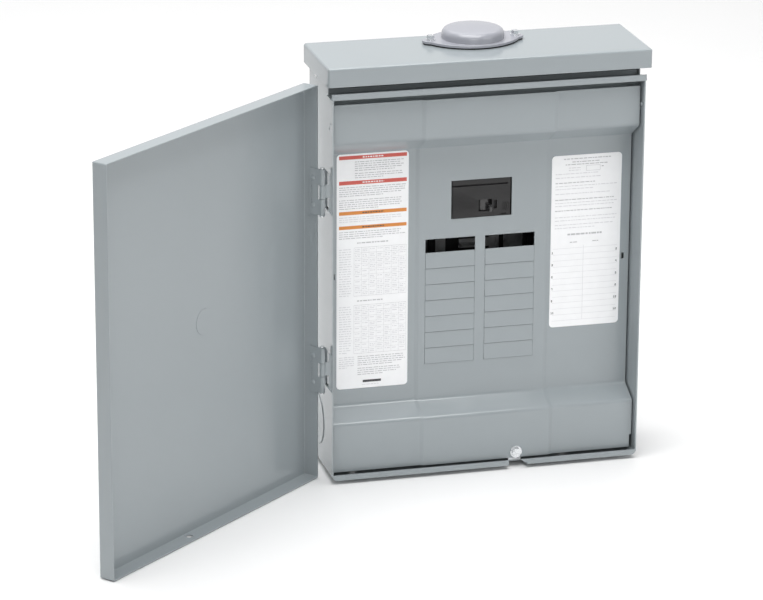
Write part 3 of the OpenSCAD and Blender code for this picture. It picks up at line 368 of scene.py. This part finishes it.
class Artwork:
    """Ink on one label: flat closed patches, placed in millimetres from its lower left corner."""

    def __init__(self, node):
        self.node = node
        self.low, self.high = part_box(node)
        self.width = (self.high[0] - self.low[0]) / MM
        self.height = (self.high[2] - self.low[2]) / MM
        self.patches = {ink: [] for ink in INKS}
        self.chance = random.Random(node)

    def patch(self, ink, x0, x1, z0, z1):
        self.patches[ink].append((x0, x1, z0, z1))

    def rule(self, ink, x0, x1, z, thick=0.22):
        self.patch(ink, x0, x1, z - thick / 2, z + thick / 2)

    def upright(self, ink, x, z0, z1, thick=0.22):
        self.patch(ink, x - thick / 2, x + thick / 2, z0, z1)

    def words(self, ink, x0, x1, z, high=0.95, fill=1.0):
        """A row of dashes that stands for a line of small print."""
        x, end = x0, x0 + (x1 - x0) * fill
        while x < end - 1:
            length = min(self.chance.uniform(1.4, 6.0), end - x)
            self.patch(ink, x, x + length, z - high / 2, z + high / 2)
            x += length + self.chance.uniform(0.7, 1.1)

    def words_in(self, ground, ink, x0, x1, z0, z1):
        """A strip of ground colour in which dashes of another ink are spared out."""
        x = x0
        while x < x1:
            gap = min(x + self.chance.uniform(0.8, 1.2), x1)
            self.patch(ground, x, gap, z0, z1)
            x = min(gap + self.chance.uniform(1.2, 3.0), x1)
            if x > gap:
                self.patch(ink, gap, x, z0, z1)

    def paragraph(self, ink, x0, x1, top, low, pitch=2.5, high=0.85):
        """Lines of small print from top to low, of which the last is short."""
        z = top
        while z > low:
            last = z - pitch <= low
            fill = self.chance.uniform(0.4, 0.8) if last else self.chance.uniform(0.9, 1)
            self.words(ink, x0, x1, z, high, fill)
            z -= pitch

    def number(self, ink, text, x, z, cell=0.5):
        """Figures built from square cells, three wide and five high."""
        for k, figure in enumerate(text):
            for i, on in enumerate(DIGITS[figure]):
                if on == "1":
                    left = x + (4 * k + i % 3) * cell
                    top = z + (2.5 - i // 3) * cell
                    self.patch(ink, left, left + cell, top - cell, top)

    def finish(self):
        """Make one piece of each ink that was used."""
        left, film, bottom = self.low
        middle_y = film - INK_OFFSET
        for ink, patches in self.patches.items():
            if not patches:
                continue
            mesh = bmesh.new()
            for x0, x1, z0, z1 in patches:
                size = ((x1 - x0) * MM, INK_THICKNESS, (z1 - z0) * MM)
                middle = Vector((left + (x0 + x1) / 2 * MM, middle_y, bottom + (z0 + z1) / 2 * MM))
                place = Matrix.Translation(middle) @ Matrix.Diagonal((*size, 1))
                bmesh.ops.create_cube(mesh, size=1, matrix=place)
            name = f"{self.node}_ink_{ink}"
            data = bpy.data.meshes.new(name)
            mesh.to_mesh(data)
            mesh.free()
            data.materials.append(INKS[ink])
            obj = bpy.data.objects.new(name, data)
            bpy.context.scene.collection.objects.link(obj)
            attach(obj, "root")


def coloured_bar(art, ink, mark, left, right, low, high):
    """A bar of one ink with a short row of dashes of another in its middle."""
    mark_left, mark_right, mark_half_h = 29, 55, 0.7
    middle = (low + high) / 2
    art.patch(ink, left, mark_left, low, high)
    art.patch(ink, mark_right, right, low, high)
    for z0, z1 in ((low, middle - mark_half_h), (middle + mark_half_h, high)):
        art.patch(ink, mark_left, mark_right, z0, z1)
    art.words_in(ink, mark, mark_left, mark_right, middle - mark_half_h, middle + mark_half_h)


def rating_artwork():
    """Plain coloured bars, lines of dashes and two ruled tables."""
    art = Artwork("rating_label")
    left, right = 2.8, art.width - 2.2
    for ink, mark, low, high in (("red", "white", 272.8, 277.0), ("red", "white", 243.2, 247.6),
                                 ("orange", "dark", 207.7, 211.8), ("orange", "dark", 190.8, 194.8)):
        coloured_bar(art, ink, mark, left, right, low, high)
    art.paragraph("grey", 21, right - 2, 269.5, 258)
    art.paragraph("grey", 21, right - 2, 256, 250)
    art.paragraph("grey", left, right, 240.0, 227.5)
    art.paragraph("grey", left, right - 4, 225, 214.5)
    art.paragraph("pale", left, right, 204.7, 197.5)
    art.paragraph("grey", left, right, 187.5, 179.5)
    art.words("grey", 24, 62, 174, 1.3)
    for top, low in ((168.5, 111.0), (100.0, 42.0)):
        ruled_table(art, left, right, top, low)
    art.words("grey", 24, 54, 105.0, 1.3)
    art.paragraph("grey", left + 22, right, 38, 26)
    art.paragraph("pale", left, left + 19, 38, 24)
    art.paragraph("grey", left + 22, right - 6, 24, 16)
    art.patch("dark", 31, 52.5, 6.7, 9.5)
    art.words("pale", 30, 50, 4.0, 0.7)
    art.finish()


def ruled_table(art, left, right, top, low):
    """Rows of small print at the left, and a grid with an entry in each cell."""
    art.paragraph("pale", left, left + 15, top - 1.5, low, 2.9, 0.8)
    grid_left, columns, rows = left + 17.5, 7, 9
    step_x, step_z = (right - grid_left) / columns, (top - low) / rows
    for k in range(rows + 1):
        art.rule("grey", grid_left, right, low + k * step_z, 0.3 if k in (0, rows, rows - 1) else 0.2)
    for k in range(columns + 1):
        art.upright("grey", grid_left + k * step_x, low, top, 0.2)
    for row in range(rows):
        for column in range(columns):
            x, z = grid_left + column * step_x, low + (row + 0.5) * step_z
            art.words("pale", x + 1.2, x + step_x - 1.2, z + 1.0, 0.8)
            if art.chance.random() < 0.7:
                art.words("pale", x + 1.2, x + step_x - 2.0, z - 1.0, 0.8)


def directory_artwork():
    """A heading, notes, and ruled lines for the circuits with their numbers."""
    art = Artwork("directory_label")
    left, right, top = 4.5, art.width - 5.0, art.height
    for down, x0, x1 in ((4.4, 14, 70), (8.2, 24, 58), (11.2, 16, 66)):
        art.words("grey", x0, x1, top - down, 1.0)
    art.words("pale", 20, 34, top - 15.2, 0.9)
    art.words("pale", 20, 34, top - 18.0, 0.9)
    box = (41, 57.5, top - 19.4, top - 13.4)
    for z in box[2:]:
        art.rule("grey", box[0], box[1], z, 0.35)
    for x in box[:2]:
        art.upright("grey", x, box[2], box[3], 0.35)
    art.words("grey", 59, 62, top - 15.0, 1.2)
    # Distance from the top, share of the width, and whether the line is bold
    lines = ((22, 0.7, False), (26.5, 0.75, False), (32.7, 0.64, True), (36.5, 1.0, False), (40, 0.62, False),
             (45.7, 0.9, False), (52.7, 0.95, True), (56.5, 1.0, False), (60, 0.95, False), (65.7, 0.92, True),
             (73.5, 1.0, False), (77.5, 0.98, False), (82.7, 0.96, False), (86.5, 0.66, False))
    for down, share, bold in lines:
        art.words("grey" if bold else "pale", left, right, top - down, 1.05 if bold else 0.9, share)
    art.words("grey", 20, 62, top - 94.5, 2.0)
    for x in (23, 50):
        art.words("grey", x, x + 9, top - 104, 1.0)
    first, step, rows = top - 110.9, 7.25, 12
    for k in range(rows + 1):
        art.rule("pale", left - 1.5, right + 1.5, first - k * step, 0.32)
    art.upright("pale", 39.3, first - rows * step, first + 3, 0.4)
    for k in range(rows // 2):
        z = first - (2 * k + 1) * step
        art.number("dark", str(2 * k + 1), 1.6, z + 2.6)
        art.number("dark", str(2 * k + 2), right - (1.5 if k > 3 else 0), z + 2.6)
    art.finish()


rating_artwork()
directory_artwork()

# Stage ---------------------------------------------------------------------


def stage():
    """A pale floor, wide enough for a view from any side."""
    reach, gap = 8.0, 0.0008
    floor_z = cad_box[0].z - gap
    corners = ((-reach, -reach), (reach, -reach), (reach, reach), (-reach, reach))
    data = bpy.data.meshes.new("floor")
    data.from_pydata([(x, y, floor_z) for x, y in corners], [], [(0, 1, 2, 3)])
    floor = bpy.data.objects.new("floor", data)
    bpy.context.scene.collection.objects.link(floor)
    s = Shader("floor_paper")
    s.colour(s.mixed(s.noise(4, 2), (0.88, 0.88, 0.88), (0.90, 0.90, 0.90)))
    s.set(Roughness=0.9, Specular_IOR_Level=0.1)
    data.materials.append(s.material)


def area_light(name, location, target, size, power):
    """A rectangular light of a width and height in metres and a power in watts, aimed at a place."""
    light = bpy.data.lights.new(name, "AREA")
    light.shape = "RECTANGLE"
    light.size, light.size_y = size
    light.energy = power
    obj = bpy.data.objects.new(name, light)
    obj.location = location
    obj.rotation_euler = (Vector(target) - Vector(location)).to_track_quat("-Z", "Y").to_euler()
    bpy.context.scene.collection.objects.link(obj)


def lights():
    """A dim even world, soft boxes overhead, a large panel behind, a lamp over the floor behind the box, and
    fill from the front and the right."""
    world = bpy.data.worlds.new("studio")
    world.use_nodes = True
    background = world.node_tree.nodes["Background"].inputs
    background["Color"].default_value = (1, 1, 1, 1)
    background["Strength"].default_value = 0.22
    bpy.context.scene.world = world
    aim = (0, 0, 0.02)
    area_light("overhead", (-0.4, -0.6, 2.6), aim, (2.6, 2.2), 88)
    area_light("overhead_back", (-0.2, 0.9, 2.4), aim, (2.4, 1.6), 14)
    area_light("back_panel", (0, 2.6, 2.0), (0, 0, 2.0), (12, 4.4), 100)
    area_light("floor_back", (0.3, 2.4, 2.4), (0.3, 2.4, 0), (3.2, 1.4), 15)
    area_light("front", (-0.9, -4.2, 1.2), aim, (1.8, 1.8), 26)
    area_light("fill_right", (2.2, -2.6, 0.9), aim, (1.8, 1.8), 15)


def camera():
    """Seen from the left and above, at the distance of a long studio lens."""
    place = Vector((-1.170, -4.109, 1.373))
    yaw, pitch, roll = math.radians(14.666), math.radians(18.575), math.radians(0.298)
    forward = Vector((math.sin(yaw) * math.cos(pitch), math.cos(yaw) * math.cos(pitch), -math.sin(pitch)))
    level = Vector((math.cos(yaw), -math.sin(yaw), 0))
    up = level.cross(forward)
    right = level * math.cos(roll) + up * math.sin(roll)
    above = up * math.cos(roll) - level * math.sin(roll)
    data = bpy.data.cameras.new("camera")
    data.sensor_width = 36
    data.lens = 182.645
    data.clip_end = 50
    obj = bpy.data.objects.new("camera", data)
    axes = Matrix((right, above, -forward)).transposed()
    obj.matrix_world = Matrix.Translation(place) @ axes.to_4x4()
    bpy.context.scene.collection.objects.link(obj)
    bpy.context.scene.camera = obj


stage()
lights()
camera()
bpy.context.scene.view_settings.view_transform = "Standard"
